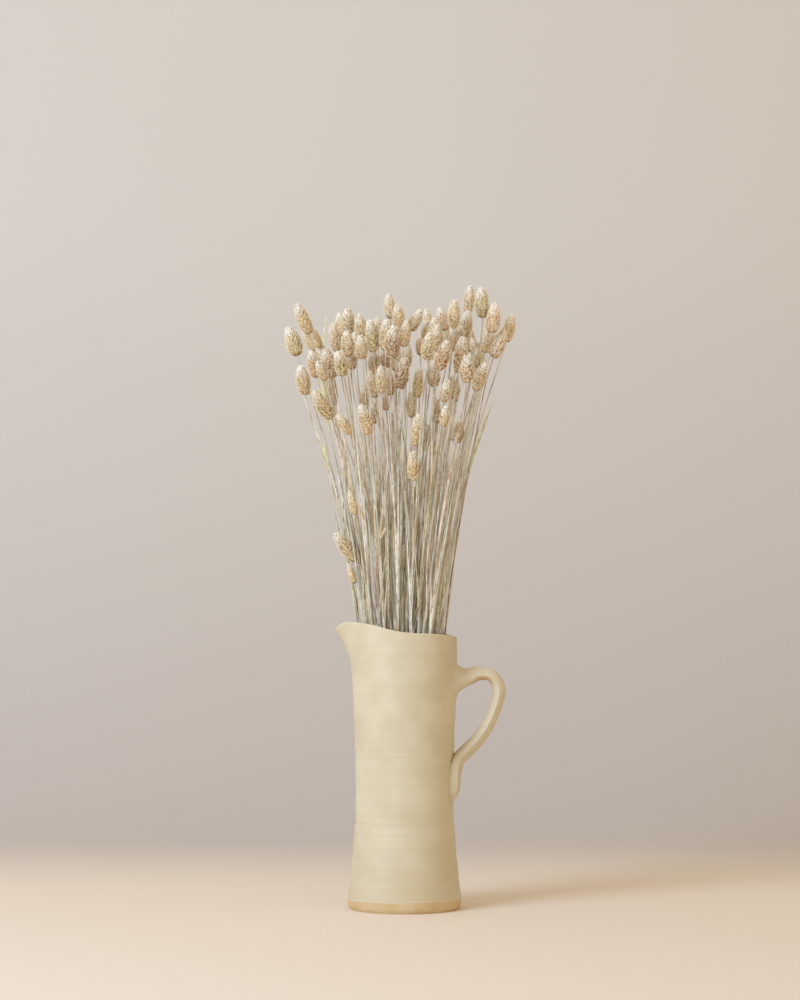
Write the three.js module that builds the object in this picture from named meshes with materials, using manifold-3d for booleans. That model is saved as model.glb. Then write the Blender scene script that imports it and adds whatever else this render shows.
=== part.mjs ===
// Dried canary grass standing in a tall thrown jug.
// Millimetres, +Z up. The origin is the middle of the jug's foot, on the surface it stands on.
// +X points to the handle, -X to the spout, and -Y to the front.

import * as THREE from 'three';
import { mergeVertices } from 'three/addons/utils/BufferGeometryUtils.js';
import Module from 'manifold-3d';

const wasm = await Module();
wasm.setup();

// Jug body

// Radius and height of the outside, from the middle of the foot up to just under the rim
const BODY_SIDE = [
  [0, 0],
  [54.2, 0],
  [56.2, 2.5],
  [56.7, 8],
  [55.8, 18],
  [53.5, 38],
  [51.2, 63],
  [49.5, 88],
  [48.8, 113],
  [49.4, 158],
  [50.9, 193],
  [52, 228],
  [52.4, 252],
];
const BODY_COLUMNS = 32;
const WALL = 5;
const INNER_FLOOR = 7;
const INNER_LEVELS = [110, 180, 228, 252];
const RIM_HEIGHT = 276;
const RIM_ROUND = 1.6;

// The rim rises towards the spout in one wave, droops at the handle and dips at the pouring lip
const RIM_MIDDLE = 280.5;
const RIM_WAVE = { rise: 6.2, centre: -22, length: 22 };
const RIM_DROOP = { from: 20, depth: 3.3, length: 32 };
const RIM_DIP = { from: -54.6, depth: 8, length: 16 };

// The spout is pulled out of the wall above this height
const SPOUT_START = 200;
const SPOUT_REACH = 18.2;
const SPOUT_HALF_ANGLE = THREE.MathUtils.degToRad(21);
const SPOUT_CURVE = 4;

// Handle: centre x, centre z and half thickness along the strap, from its upper root to its tail
const HANDLE_LINE = [
  [48.9, 226.5, 20],
  [52.5, 229, 15],
  [57, 231.5, 11.4],
  [64.2, 233.4, 8.3],
  [75.7, 235.3, 6.8],
  [85.7, 233.1, 6.1],
  [92.2, 226.6, 6.2],
  [94.6, 217.5, 6.6],
  [92.7, 206.3, 6.3],
  [88.2, 193.7, 6.4],
  [82, 180.7, 6.6],
  [72.5, 167.7, 6.9],
  [61.2, 156.2, 7.1],
  [53.6, 147.8, 6.9],
  [50.9, 133, 5.7],
  [50, 118.5, 5],
  [46.8, 107.5, 1.2],
];
const HANDLE_SIDES = 8;
const HANDLE_HALF_WIDTH = 8.6;
const HANDLE_ROOT_HALF_WIDTH = 14;
const HANDLE_ROOT_RINGS = 3;
// Rings that stand upright in the wall, so that the root doesn't come out inside the jug
const HANDLE_UPRIGHT_RINGS = 2;

// Stalks

// Each row is one stalk: where the tip and the foot of its seed head show in a front view (x, z),
// the head's width, and how far the head stands behind the jug's axis (in front of it if negative)
const STALKS = [
  [-116, 581, -107, 552, 16, 50],
  [-108, 604, -95, 574, 13, -10],
  [-102, 580, -88, 557, 11, 45],
  [-91, 578, -85, 560, 8, 5],
  [-86, 565, -77, 538, 12, 15],
  [-79, 559, -72, 530, 15, -45],
  [-93, 557, -87, 530, 14, 30],
  [-87, 546, -79, 527, 9, -20],
  [-67, 556, -61, 532, 13, -75],
  [-72, 585, -67, 556, 12, -5],
  [-65, 595, -62, 571, 11, 75],
  [-57, 599, -56, 574, 13, 25],
  [-46, 593, -42, 571, 12, 15],
  [-58, 577, -56, 551, 13, -25],
  [-49, 575, -48, 549, 13, 5],
  [-44, 572, -42, 549, 12, -65],
  [-53, 563, -53, 538, 12, 55],
  [-104, 542, -99, 513, 14, -15],
  [-91, 517, -73, 489, 15, -40],
  [-67, 493, -53, 474, 10, -50],
  [-73, 534, -70, 502, 8, 45],
  [-80, 533, -76, 508, 7, 60],
  [-35, 588, -31, 556, 13, -30],
  [-27, 590, -26, 561, 12, 35],
  [-18, 588, -19, 557, 13, -35],
  [-11, 581, -13, 549, 16, -75],
  [-16, 614, -14, 589, 11, 70],
  [-7, 604, -5, 577, 12, 5],
  [2, 587, -1, 561, 11, -20],
  [16, 598, 6, 577, 11, 15],
  [22, 598, 25, 579, 9, 75],
  [-32, 558, -30, 533, 11, 45],
  [-19, 561, -20, 534, 11, 65],
  [-8, 561, -9, 537, 12, 45],
  [3, 564, 2, 540, 10, 30],
  [0, 550, -5, 519, 14, -30],
  [16, 575, 16, 552, 9, 60],
  [25, 574, 22, 548, 13, -80],
  [21, 586, 23, 564, 11, 35],
  [30, 590, 29, 561, 12, 15],
  [33, 583, 33, 556, 12, -30],
  [35, 600, 41, 577, 11, 45],
  [50, 608, 49, 580, 12, -45],
  [64, 597, 59, 570, 12, -15],
  [66, 622, 63, 595, 11, 15],
  [77, 620, 78, 590, 14, -15],
  [91, 604, 87, 575, 14, -25],
  [108, 593, 101, 566, 12, 10],
  [81, 579, 80, 555, 13, 35],
  [100, 578, 89, 550, 13, -15],
  [92, 574, 86, 554, 10, 45],
  [68, 569, 72, 552, 9, 45],
  [65, 582, 67, 555, 9, 65],
  [49, 581, 51, 556, 11, -10],
  [54, 586, 56, 563, 9, 75],
  [41, 583, 42, 560, 9, 70],
  [43, 567, 34, 538, 14, -50],
  [59, 572, 54, 535, 14, -30],
  [63, 552, 62, 525, 15, -65],
  [74, 560, 74, 534, 12, 0],
  [81, 545, 71, 517, 12, -35],
  [29, 547, 29, 521, 13, 0],
  [-44, 503, -35, 473, 12, -70],
  [-41, 525, -39, 497, 8, 40],
  [-35, 537, -29, 510, 11, 0],
  [-24, 542, -23, 515, 10, -60],
  [-30, 506, -30, 484, 7, 60],
  [-17, 540, -14, 512, 10, 10],
  [-21, 518, -18, 497, 7, 65],
  [15, 541, 12, 510, 10, -10],
  [7, 517, 7, 490, 9, 30],
  [14, 494, 11, 461, 11, -50],
  [22, 484, 22, 461, 7, 35],
  [43, 527, 39, 506, 11, -60],
  [48, 532, 47, 509, 9, 25],
  [53, 526, 51, 506, 7, 55],
  [31, 511, 33, 484, 8, 15],
  [41, 501, 39, 481, 9, -65],
  [55, 488, 53, 465, 12, -45],
  [47, 488, 49, 467, 7, 15],
  [8, 456, 9, 427, 11, -65],
  [-55, 417, -49, 393, 8, -40],
  [-69, 375, -48, 347, 14, -20],
  [-1, 363, -1, 338, 7, -10],
  [-56, 345, -50, 324, 6, -20],
  [-9, 587, -8, 563, 11, 30],
];

// The front view is taken from this far in front of the jug's axis and this high
const VIEW_DISTANCE = 2340;
const VIEW_HEIGHT = 273;

// Stems
const STEM_SIDES = 3;
const STEM_RADIUS_FOOT = 1.15;
const STEM_RADIUS_HEAD = 0.9;
const SEAT_GAP = 0.3;
const STEM_LEVELS = [110, 275, 335, 395, 455, 515, 575];
const LEVELS_BELOW_HEAD = [50, 30, 14, 0];
const LEAST_LEVEL_STEP = 10;

// The bunch spreads from the jug's mouth, in curves that grow with height, and draws in towards the feet
const MOUTH_HEIGHT = 275;
const BUNCH_CENTRE_X = -2.5;
const SPREAD = { slope: 0.0026, curve: 0.0000083, least: 0.62 };

// The stems sway sideways and in depth, each as its neighbours do, so that they cross without touching
const SWAY_HEIGHT = 300;
const SWAY_X = { reach: 5, turn: (2 * Math.PI) / 31, phase: 0.7 };
const SWAY_Y = { reach: 4, turn: (2 * Math.PI) / 37, phase: 2.1 };
const NECK_LENGTH = 80;

// Stalks that are fused two and two at their feet lean together below this height
const FUSED_PAIRS = 27;
const FUSED_BELOW = 110;
const FUSED_FOOT_STEP = 0.9;

// Seed heads: rows of pointed scales, each tip standing over the root of the scale above it.
// The lowest row's tips keep their own level, so that the underside of the head stays clear of the roots
const HEAD_FIRST_ROW = 0.12;
const HEAD_LAST_ROW = 0.87;
// The head's outline is an arch of a sine, which starts a little way in and leans towards the foot
const HEAD_ARCH = { start: 0.06, length: 0.88, lean: 0.75, fullness: 0.7 };
const SCALE_TIP = 1.14;
const SCALE_ROOT = 0.85;
const SCALE_LAP = 0.6;
const LARGE_HEAD = { from: 12, columns: 6, rows: 6 };
const MIDDLE_HEAD = { from: 10, columns: 5, rows: 6 };
const SMALL_HEAD = { from: 0, columns: 5, rows: 5 };

// Leaves: number of the stalk, height where the leaf parts from the stem, its tip in the front view (x, z),
// how far the tip stands behind the leaf's root, and the blade's width
const LEAVES = [
  [7, 480, -78, 596, 9, 3.2],
  [18, 440, -79, 468, 0, 2.4],
  [19, 425, -70, 443, -6, 2.6],
  [7, 388, -66, 411, -6, 3.2],
  [6, 405, -53, 431, -8, 3],
  [9, 380, -43, 406, -6, 3],
  [47, 425, 82, 505, -8, 3.4],
  [51, 460, 75, 493, 6, 2.8],
  [62, 455, 17, 468, -4, 3],
];
const LEAF_SEGMENTS = 3;
const LEAF_THICKNESS = 0.7;
const LEAF_ROOT_WIDTH = 1.2;

// Materials

const ceramic = new THREE.MeshStandardMaterial({ color: 0xdcd0ab, roughness: 0.8, metalness: 0 });
const straw = new THREE.MeshStandardMaterial({ color: 0xcdb98a, roughness: 0.9, metalness: 0 });

// Solids from points and triangles

function solidFrom(points, triangles) {
  const vertProperties = new Float32Array(points.flatMap((p) => [p.x, p.y, p.z]));
  const triVerts = new Uint32Array(triangles.flat());
  return new wasm.Manifold(new wasm.Mesh({ numProp: 3, vertProperties, triVerts }));
}

function solidFromGeometry(geometry) {
  geometry.deleteAttribute('normal');
  geometry.deleteAttribute('uv');
  const merged = mergeVertices(geometry);
  const place = merged.getAttribute('position');
  const pointAt = (_, i) => new THREE.Vector3().fromBufferAttribute(place, i);
  const points = Array.from({ length: place.count }, pointAt);
  const triangles = [];
  for (let i = 0; i < merged.index.count; i += 3) {
    const [a, b, c] = [0, 1, 2].map((k) => merged.index.getX(i + k));
    if (a !== b && b !== c && c !== a) triangles.push([a, b, c]);
  }
  return solidFrom(points, triangles);
}

function meshFrom(solid, name, material) {
  const { vertProperties, triVerts, numProp } = solid.getMesh();
  const geometry = new THREE.BufferGeometry();
  const place = new THREE.InterleavedBuffer(vertProperties, numProp);
  geometry.setAttribute('position', new THREE.InterleavedBufferAttribute(place, 3, 0));
  geometry.setIndex(new THREE.BufferAttribute(triVerts, 1));
  const mesh = new THREE.Mesh(geometry, material);
  mesh.name = name;
  return mesh;
}

// A skin laid on ring by ring, from a closed first ring to a last one, each counted the same way round
class Skin {
  points = [];
  triangles = [];

  add(points) {
    const first = this.points.length;
    this.points.push(...points);
    return points.map((_, i) => first + i);
  }

  // Triangles between two rings, which may differ in how many points they have
  band(lower, upper) {
    let i = 0;
    let j = 0;
    while (i < lower.length || j < upper.length) {
      const a = lower[i % lower.length];
      const b = upper[j % upper.length];
      const lowerIsNext = (i + 1) / lower.length <= (j + 1) / upper.length;
      if (j === upper.length || (i < lower.length && lowerIsNext)) {
        i += 1;
        this.triangles.push([a, lower[i % lower.length], b]);
      } else {
        j += 1;
        this.triangles.push([a, upper[j % upper.length], b]);
      }
    }
  }

  // A fan that closes the first ring or the last one
  cap(ring, point, isLast) {
    const [middle] = this.add([point]);
    ring.forEach((a, i) => {
      const b = ring[(i + 1) % ring.length];
      this.triangles.push(isLast ? [a, b, middle] : [b, a, middle]);
    });
  }

  solid() {
    return solidFrom(this.points, this.triangles);
  }
}

// Points on an oval round a centre, counted from sideways through depthways
function ovalRing(centre, sideways, depthways, count) {
  return Array.from({ length: count }, (_, i) => {
    const angle = (2 * Math.PI * i) / count;
    return centre
      .clone()
      .addScaledVector(sideways, Math.cos(angle))
      .addScaledVector(depthways, Math.sin(angle));
  });
}

// Jug

function rimHeightAt(x) {
  const wave = RIM_WAVE.rise * Math.tanh((x - RIM_WAVE.centre) / RIM_WAVE.length);
  const droop = RIM_DROOP.depth * (Math.max(0, x - RIM_DROOP.from) / RIM_DROOP.length) ** 2;
  const dip = RIM_DIP.depth * (Math.max(0, RIM_DIP.from - x) / RIM_DIP.length) ** 2;
  return RIM_MIDDLE - wave - droop - dip;
}

// Turns a point of the plain round body into one with the waved rim and the spout
function shapeMouth(point) {
  if (point.z <= SPOUT_START) return;
  const radius = Math.hypot(point.x, point.y);
  const fromSpout = Math.PI - Math.abs(Math.atan2(point.y, point.x));
  const reach = SPOUT_REACH * Math.exp(-((fromSpout / SPOUT_HALF_ANGLE) ** 2));
  const rim = rimHeightAt((point.x * (radius + reach)) / radius);
  const share = (point.z - SPOUT_START) / (RIM_HEIGHT - SPOUT_START);
  const stretch = 1 + (reach * share ** SPOUT_CURVE) / radius;
  point.set(point.x * stretch, point.y * stretch, SPOUT_START + share * (rim - SPOUT_START));
}

function radiusAt(height) {
  const upper = BODY_SIDE.findIndex(([, z]) => z >= height && z > 0);
  const [r1, z1] = BODY_SIDE[upper];
  const [r0, z0] = BODY_SIDE[upper - 1];
  return r0 + ((r1 - r0) * (height - z0)) / (z1 - z0);
}

function jugBody() {
  const outside = BODY_SIDE.map(([r, z]) => new THREE.Vector2(r, z));
  const rimRadius = BODY_SIDE.at(-1)[0];
  const rim = [
    new THREE.Vector2(rimRadius, RIM_HEIGHT - RIM_ROUND),
    new THREE.Vector2(rimRadius - RIM_ROUND, RIM_HEIGHT),
    new THREE.Vector2(rimRadius - WALL + RIM_ROUND, RIM_HEIGHT),
    new THREE.Vector2(rimRadius - WALL, RIM_HEIGHT - RIM_ROUND),
  ];
  const inside = INNER_LEVELS.toReversed().map((z) => new THREE.Vector2(radiusAt(z) - WALL, z));
  const floorRadius = radiusAt(INNER_FLOOR + WALL) - 2 * WALL;
  inside.push(new THREE.Vector2(floorRadius, INNER_FLOOR));
  inside.push(new THREE.Vector2(0, INNER_FLOOR));
  const lathe = new THREE.LatheGeometry([...outside, ...rim, ...inside], BODY_COLUMNS);
  lathe.rotateX(Math.PI / 2);
  const place = lathe.getAttribute('position');
  for (let i = 0; i < place.count; i += 1) {
    const point = new THREE.Vector3().fromBufferAttribute(place, i);
    shapeMouth(point);
    place.setXYZ(i, point.x, point.y, point.z);
  }
  return solidFromGeometry(lathe);
}

function jugHandle() {
  const centres = HANDLE_LINE.map(([x, z]) => new THREE.Vector3(x, 0, z));
  const skin = new Skin();
  const rings = HANDLE_LINE.map(([, , half], i) => {
    const before = centres[Math.max(0, i - 1)];
    const after = centres[Math.min(centres.length - 1, i + 1)];
    const along = after.clone().sub(before).normalize();
    if (i < HANDLE_UPRIGHT_RINGS) along.set(1, 0, 0);
    const outwards = new THREE.Vector3(-along.z, 0, along.x).multiplyScalar(half);
    const rootShare = Math.max(0, 1 - i / HANDLE_ROOT_RINGS);
    const halfWidth = THREE.MathUtils.lerp(HANDLE_HALF_WIDTH, HANDLE_ROOT_HALF_WIDTH, rootShare);
    const depth = new THREE.Vector3(0, -halfWidth, 0);
    return skin.add(ovalRing(centres[i], outwards, depth, HANDLE_SIDES));
  });
  rings.slice(1).forEach((ring, i) => skin.band(rings[i], ring));
  skin.cap(rings[0], centres[0], false);
  skin.cap(rings.at(-1), centres.at(-1), true);
  return skin.solid();
}

// Bunch

// How wide the bunch is at a height, against its width in the jug's mouth
function spreadAt(z) {
  const above = z - MOUTH_HEIGHT;
  if (above > 0) return 1 + SPREAD.slope * above + SPREAD.curve * above ** 2;
  const drawn = 1 - SPREAD.least;
  return 1 - drawn * (1 - Math.exp((SPREAD.slope / drawn) * above));
}

function sway({ reach, turn, phase }, at, z) {
  return (reach * Math.sin(turn * at + phase) * (z - MOUTH_HEIGHT)) / SWAY_HEIGHT;
}

// Where a stem with this place in the mouth runs at a height
function fan(mouth, z) {
  const x = mouth.x + sway(SWAY_X, mouth.y, z);
  const y = mouth.y + sway(SWAY_Y, x, z);
  const spread = spreadAt(z);
  return new THREE.Vector2(BUNCH_CENTRE_X + x * spread, y * spread);
}

// The place in the mouth of the stem that runs through a point
function mouthOf(point) {
  const spread = spreadAt(point.z);
  const x = (point.x - BUNCH_CENTRE_X) / spread;
  const y = point.y / spread - sway(SWAY_Y, x, point.z);
  return new THREE.Vector2(x - sway(SWAY_X, y, point.z), y);
}

// A point of the front view, put back to the depth it lies at
function placeAtDepth(x, z, depth) {
  const scale = 1 + depth / VIEW_DISTANCE;
  return new THREE.Vector3(x * scale, depth, VIEW_HEIGHT + (z - VIEW_HEIGHT) * scale);
}

function makeStalk([tipX, tipZ, footX, footZ, width, depth], index) {
  const scale = 1 + depth / VIEW_DISTANCE;
  const centre = placeAtDepth((tipX + footX) / 2, (tipZ + footZ) / 2, depth);
  const widening = (spreadAt(centre.z + 0.5) - spreadAt(centre.z - 0.5)) / spreadAt(centre.z);
  const axis = new THREE.Vector3((tipX - footX) / (tipZ - footZ), depth * widening, 1).normalize();
  const seenLength = Math.hypot(tipX - footX, tipZ - footZ) * scale;
  const length = seenLength / Math.hypot(axis.x, axis.z);
  const foot = centre.clone().addScaledVector(axis, -length / 2);
  const mouth = mouthOf(foot);
  return { number: index + 1, foot, axis, length, width: width * scale, mouth, lean: new THREE.Vector2() };
}

// Centre of the stem at a height: the fan's curve, bent into the head's own axis over the neck
function stemPoint(stalk, z) {
  const { foot, axis, mouth, lean } = stalk;
  const point = fan(mouth, z);
  const below = foot.z - z;
  if (below < NECK_LENGTH) {
    const slope = fan(mouth, foot.z + 0.5).sub(fan(mouth, foot.z - 0.5));
    const turn = new THREE.Vector2(axis.x / axis.z, axis.y / axis.z).sub(slope);
    point.addScaledVector(turn, -below * (1 - below / NECK_LENGTH) ** 2);
  }
  const low = Math.max(0, FUSED_BELOW - z) / FUSED_BELOW;
  point.addScaledVector(lean, low ** 2);
  return new THREE.Vector3(point.x, point.y, z);
}

// Pairs the stalks that stand nearest in the mouth, and leans their feet together
function pairNearest(stalks) {
  const couples = stalks.flatMap((a, i) => stalks.slice(i + 1).map((b) => [a, b]));
  couples.sort(([a, b], [c, d]) => a.mouth.distanceTo(b.mouth) - c.mouth.distanceTo(d.mouth));
  const taken = new Set();
  const pairs = [];
  for (const [a, b] of couples) {
    if (pairs.length === FUSED_PAIRS || taken.has(a) || taken.has(b)) continue;
    taken.add(a).add(b);
    pairs.push([a, b]);
    const standing = INNER_FLOOR + SEAT_GAP;
    const share = (FUSED_BELOW / (FUSED_BELOW - standing)) ** 2;
    const apart = fan(b.mouth, standing).sub(fan(a.mouth, standing));
    const closing = apart.multiplyScalar((0.5 - FUSED_FOOT_STEP / (2 * apart.length())) * share);
    a.lean.copy(closing);
    b.lean.copy(closing).negate();
  }
  return [...pairs, ...stalks.filter((stalk) => !taken.has(stalk)).map((stalk) => [stalk])];
}

function stemRings(skin, stalk) {
  const standing = INNER_FLOOR + SEAT_GAP;
  const neck = LEVELS_BELOW_HEAD.map((below) => stalk.foot.z - below);
  const levels = [standing, ...STEM_LEVELS.filter((z) => z < neck[0] - LEAST_LEVEL_STEP), ...neck];
  return levels.map((z) => {
    const share = (z - standing) / (stalk.foot.z - standing);
    const radius = THREE.MathUtils.lerp(STEM_RADIUS_FOOT, STEM_RADIUS_HEAD, share);
    const sideways = new THREE.Vector3(radius, 0, 0);
    const depthways = new THREE.Vector3(0, radius, 0);
    return skin.add(ovalRing(stemPoint(stalk, z), sideways, depthways, STEM_SIDES));
  });
}

// The head's radius at a share of its length, as a share of its half width: plump below, drawn in above
function headSwell(share) {
  const turn = (HEAD_ARCH.start + HEAD_ARCH.length * share) ** HEAD_ARCH.lean;
  return Math.sin(Math.PI * turn) ** HEAD_ARCH.fullness;
}

function headRings(skin, stalk) {
  const { columns, rows } = [LARGE_HEAD, MIDDLE_HEAD, SMALL_HEAD].find(({ from }) => stalk.width >= from);
  const sideways = new THREE.Vector3(0, 1, 0).cross(stalk.axis).normalize();
  const depthways = stalk.axis.clone().cross(sideways);
  const step = (HEAD_LAST_ROW - HEAD_FIRST_ROW) / (rows - 1);
  return Array.from({ length: rows }, (_, row) => {
    const share = HEAD_FIRST_ROW + row * step;
    const swell = (headSwell(share) * stalk.width) / 2;
    const ring = ovalRing(new THREE.Vector3(), sideways, depthways, 2 * columns);
    const tipLap = row === 0 ? 0 : SCALE_LAP;
    ring.forEach((point, i) => {
      const isTip = (row + i) % 2 === 0;
      const lap = (isTip ? tipLap : -SCALE_LAP) * step;
      point.multiplyScalar(swell * (isTip ? SCALE_TIP : SCALE_ROOT));
      point.add(stalk.foot).addScaledVector(stalk.axis, (share + lap) * stalk.length);
    });
    return skin.add(ring);
  });
}

// Between two rows of scales the triangles meet along the roots, so that every scale has a keel
function scaleBand(skin, lower, upper, row) {
  lower.forEach((a, i) => {
    const next = (i + 1) % lower.length;
    const b = lower[next];
    const c = upper[next];
    const d = upper[i];
    const isTip = (row + i) % 2 === 0;
    if (isTip) skin.triangles.push([a, b, d], [b, c, d]);
    else skin.triangles.push([a, b, c], [a, c, d]);
  });
}

function stalkSolid(stalk) {
  const skin = new Skin();
  const stem = stemRings(skin, stalk);
  stem.slice(1).forEach((ring, i) => skin.band(stem[i], ring));
  skin.triangles.push([stem[0][2], stem[0][1], stem[0][0]]);
  const head = headRings(skin, stalk);
  skin.band(stem.at(-1), head[0]);
  head.slice(1).forEach((ring, row) => scaleBand(skin, head[row], ring, row));
  const tip = stalk.foot.clone().addScaledVector(stalk.axis, stalk.length);
  skin.cap(head.at(-1), tip, true);
  return skin.solid();
}

function leafSolid(stalk, [, height, tipX, tipZ, tipDepth, width]) {
  const root = stemPoint(stalk, height);
  const tip = placeAtDepth(tipX, tipZ, root.y + tipDepth);
  const along = tip.clone().sub(root);
  const sideways = new THREE.Vector3(0, 1, 0).cross(along).normalize();
  const depthways = along.clone().cross(sideways).normalize();
  const skin = new Skin();
  const rings = Array.from({ length: LEAF_SEGMENTS }, (_, i) => {
    const share = i / LEAF_SEGMENTS;
    const halfWidth = (i === 0 ? LEAF_ROOT_WIDTH : width * (1 - share * share)) / 2;
    const corners = [
      [halfWidth, -LEAF_THICKNESS / 2],
      [halfWidth, LEAF_THICKNESS / 2],
      [-halfWidth, LEAF_THICKNESS / 2],
      [-halfWidth, -LEAF_THICKNESS / 2],
    ];
    const centre = root.clone().addScaledVector(along, share);
    return skin.add(
      corners.map(([s, d]) => centre.clone().addScaledVector(sideways, s).addScaledVector(depthways, d)),
    );
  });
  rings.slice(1).forEach((ring, i) => skin.band(rings[i], ring));
  skin.cap(rings[0], root, false);
  skin.cap(rings.at(-1), tip, true);
  return skin.solid();
}

// Assembly

const group = new THREE.Group();

group.add(meshFrom(jugBody().add(jugHandle()), 'jug', ceramic));

const twoDigits = (number) => String(number).padStart(2, '0');

for (const members of pairNearest(STALKS.map(makeStalk))) {
  const solids = members.flatMap((stalk) => {
    const leaves = LEAVES.filter(([number]) => number === stalk.number);
    return [stalkSolid(stalk), ...leaves.map((leaf) => leafSolid(stalk, leaf))];
  });
  const whole = solids.reduce((joined, solid) => joined.add(solid));
  const name = `stalk_${members.map(({ number }) => twoDigits(number)).join('_')}`;
  group.add(meshFrom(whole, name, straw));
}

export default group;
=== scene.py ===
"""Dried canary grass standing in a tall thrown jug.

Pieces are modelled in millimetres, with +Z up, +X to the handle, -X to the spout and -Y to the front,
round the middle of the jug's foot. Each is scaled to metres as it is finished.
"""

import math
import random
from collections import namedtuple

import bmesh
import bpy
from mathutils import Matrix, Vector


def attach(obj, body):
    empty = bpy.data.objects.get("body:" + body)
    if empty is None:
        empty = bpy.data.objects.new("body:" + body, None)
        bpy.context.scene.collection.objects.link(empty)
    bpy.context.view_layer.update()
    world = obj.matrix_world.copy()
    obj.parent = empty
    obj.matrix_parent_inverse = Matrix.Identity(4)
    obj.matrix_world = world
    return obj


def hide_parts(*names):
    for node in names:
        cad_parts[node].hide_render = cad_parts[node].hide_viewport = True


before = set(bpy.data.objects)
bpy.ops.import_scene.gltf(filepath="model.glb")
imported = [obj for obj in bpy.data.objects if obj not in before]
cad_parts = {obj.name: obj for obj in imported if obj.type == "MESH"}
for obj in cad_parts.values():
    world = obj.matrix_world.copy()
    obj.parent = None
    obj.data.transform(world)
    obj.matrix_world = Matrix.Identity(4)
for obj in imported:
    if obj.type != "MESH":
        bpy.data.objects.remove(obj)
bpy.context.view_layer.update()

MM = 0.001
UP = Vector((0, 0, 1))
BACK = Vector((0, 1, 0))

# Camera: it looks level along +Y, and its frame is 1 m high at the jug's axis
VIEW_DISTANCE = 2340
VIEW_HEIGHT = 273
FRAME_HEIGHT = 1000
FRAME_CENTRE_X = -4.5
FRAME_CENTRE_Z = 408
SENSOR_HEIGHT = 36
VIEW_END = 20000

# Jug body: radius and height of the outside, from the edge of the foot up to just under the rim
BODY_SIDE = [
    (54.2, 0),
    (56.2, 2.5),
    (56.7, 8),
    (55.8, 18),
    (53.5, 38),
    (51.2, 63),
    (49.5, 88),
    (48.8, 113),
    (49.4, 158),
    (50.9, 193),
    (52, 228),
    (52.4, 252),
    (52.4, 274.4),
]
BODY_STEP = 3.5
BODY_COLUMNS = 144
MERGED_WITHIN = 0.005
UNDERSIDE_RING = 30
WALL = 5
RIM_HEIGHT = 276
RIM_ROUND = 1.6
RIM_STEPS = 5
RIM_CLEAR = 1

# The inner floor, and the points of the corner round it: how far in from the wall and how far up they lie
INNER_FLOOR = 7
INNER_CORNER = 6
INNER_CORNER_POINTS = [(1, 2), (4, 0)]

# The rim rises towards the spout in one wave, droops at the handle and dips at the pouring lip
RIM_MIDDLE = 280.5
RIM_WAVE = {"rise": 6.2, "centre": -22, "length": 22}
RIM_DROOP = {"start": 20, "depth": 3.3, "length": 32}
RIM_DIP = {"start": -54.6, "depth": 8, "length": 16}

# Its back stands a little higher towards the handle
BACK_RIM_RISE = 2.6
BACK_RIM_FROM_X = (-10, 20)

# The spout is drawn out of the upper wall, in a curve that grows towards the rim
SPOUT_START = 200
SPOUT_REACH = 18.2
SPOUT_HALF_ANGLE = math.radians(21)
SPOUT_CURVE = 4

# Throwing rings: how far they stand out, how far apart they lie, and where they fade at the foot and the rim
THROWING_RINGS = [(0.16, 9.1), (0.11, 5.3), (0.2, 31)]
THROWING_STARTS = (2, 14)
THROWING_ENDS = (258, 272)

# Handle, from its upper root to its tail: centre x, centre z, half thickness, half width,
# and how sharply the section runs out to its front and back edges (0.5 makes an ellipse)
HANDLE_LINE = [
    (43, 226, 21, 21, 0.5),
    (48, 227, 21.5, 25, 0.45),
    (51.5, 227.4, 20.5, 24.5, 0.45),
    (53.2, 229, 15.6, 20, 0.5),
    (55.5, 229.3, 13, 16.5, 0.5),
    (60, 229.9, 10.1, 12.5, 0.6),
    (65, 231.4, 8.9, 10.2, 0.7),
    (70.5, 233.7, 7.5, 9.2, 0.8),
    (76.5, 234.8, 6.8, 8.8, 0.85),
    (85.7, 233.1, 6.1, 8.6, 0.85),
    (92.2, 226.6, 6.2, 8.6, 0.85),
    (94.6, 217.5, 6.6, 8.6, 0.85),
    (92.7, 206.3, 6.3, 8.6, 0.85),
    (88.2, 193.7, 6.4, 8.6, 0.85),
    (82, 180.7, 6.6, 8.6, 0.85),
    (72.5, 167.7, 6.9, 9, 0.85),
    (61.2, 156.2, 7.1, 11, 0.7),
    (53.6, 147.8, 6.9, 17.5, 0.4),
    (50.9, 133, 5.7, 21.5, 0.25),
    (50, 118.5, 5, 21.5, 0.25),
    (46.8, 106, 1.2, 17, 0.4),
]
HANDLE_STEPS = 5
HANDLE_SIDES = 24

# Its sections stand upright up to the first of these points of the line, and lie across it from the second
HANDLE_UPRIGHT_POINTS = (5, 7.5)

# Its roots are wrapped round the wall: fully within the first x, and not at all from the second,
# and on the outer side the less the lower they lie
HANDLE_WRAPPED_X = (52, 66)
HANDLE_WRAPPED_Z = (100, 220)
WALL_RADIUS = 50

# Where the strap runs outwards, its edges lie lower by this share of the half thickness
HANDLE_RIDGE_DROP = 0.35

# The crease round the upper root is rounded: where it lies, and how much it is smoothed
ROOT_SOFT_X = (40, 68)
ROOT_SOFT_Y = 30
ROOT_SOFT_Z = (198, 256)
ROOT_SOFT_RADIUS = 49.6
ROOT_SOFT_ROUNDS = 2
ROOT_SOFT_FACTOR = 0.5

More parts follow.
